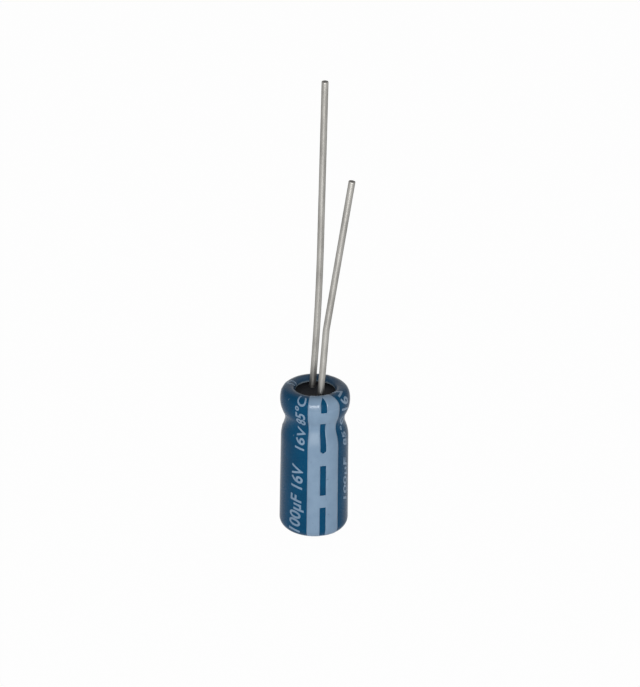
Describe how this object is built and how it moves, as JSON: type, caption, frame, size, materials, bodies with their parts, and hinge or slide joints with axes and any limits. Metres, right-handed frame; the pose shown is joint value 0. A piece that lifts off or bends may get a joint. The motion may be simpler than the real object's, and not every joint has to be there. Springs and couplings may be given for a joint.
{
  "type": "radial aluminium electrolytic capacitor",
  "caption": "Radial aluminium electrolytic capacitor: blue shrink sleeve with pale polarity stripe, beaded can, rubber seal and unequal wire leads, standing on its flat head.",
  "frame": {"origin": "centre of the ring of film at the can's closed end, on the plane that the part stands on", "axes": "+Z along the can's axis from the closed end toward the leads; -Y toward the negative lead and the middle of the polarity stripe; +X toward the side that the leads lean to"},
  "size_m": [0.0052, 0.0052, 0.0353],
  "materials": {
    "sleeve_film": "shrunk film, satin gloss",
    "pale_ink": "printed ink under a faint gloss",
    "can_aluminium": "deep-drawn, satin",
    "seal_rubber": "matte",
    "tinned_wire": "tinned, satin",
    "tab_aluminium": "drawn wire, pressed flat at one end",
    "etched_foil": "etched, dull",
    "plain_foil": "rolled foil",
    "separator_paper": "soaked paper",
    "tape_film": "smooth film"
  },
  "bodies": {
    "root": {"sleeve": "sleeve_film", "polarity_print": "pale_ink", "can": "can_aluminium", "seal": "seal_rubber", "positive_lead": "tinned_wire", "negative_lead": "tinned_wire", "positive_tab": "tab_aluminium", "negative_tab": "tab_aluminium", "anode_foil": "etched_foil", "cathode_foil": "plain_foil", "separator_inner": "separator_paper", "separator_outer": "separator_paper", "closing_tape": "tape_film"}
  },
  "joints": []
}
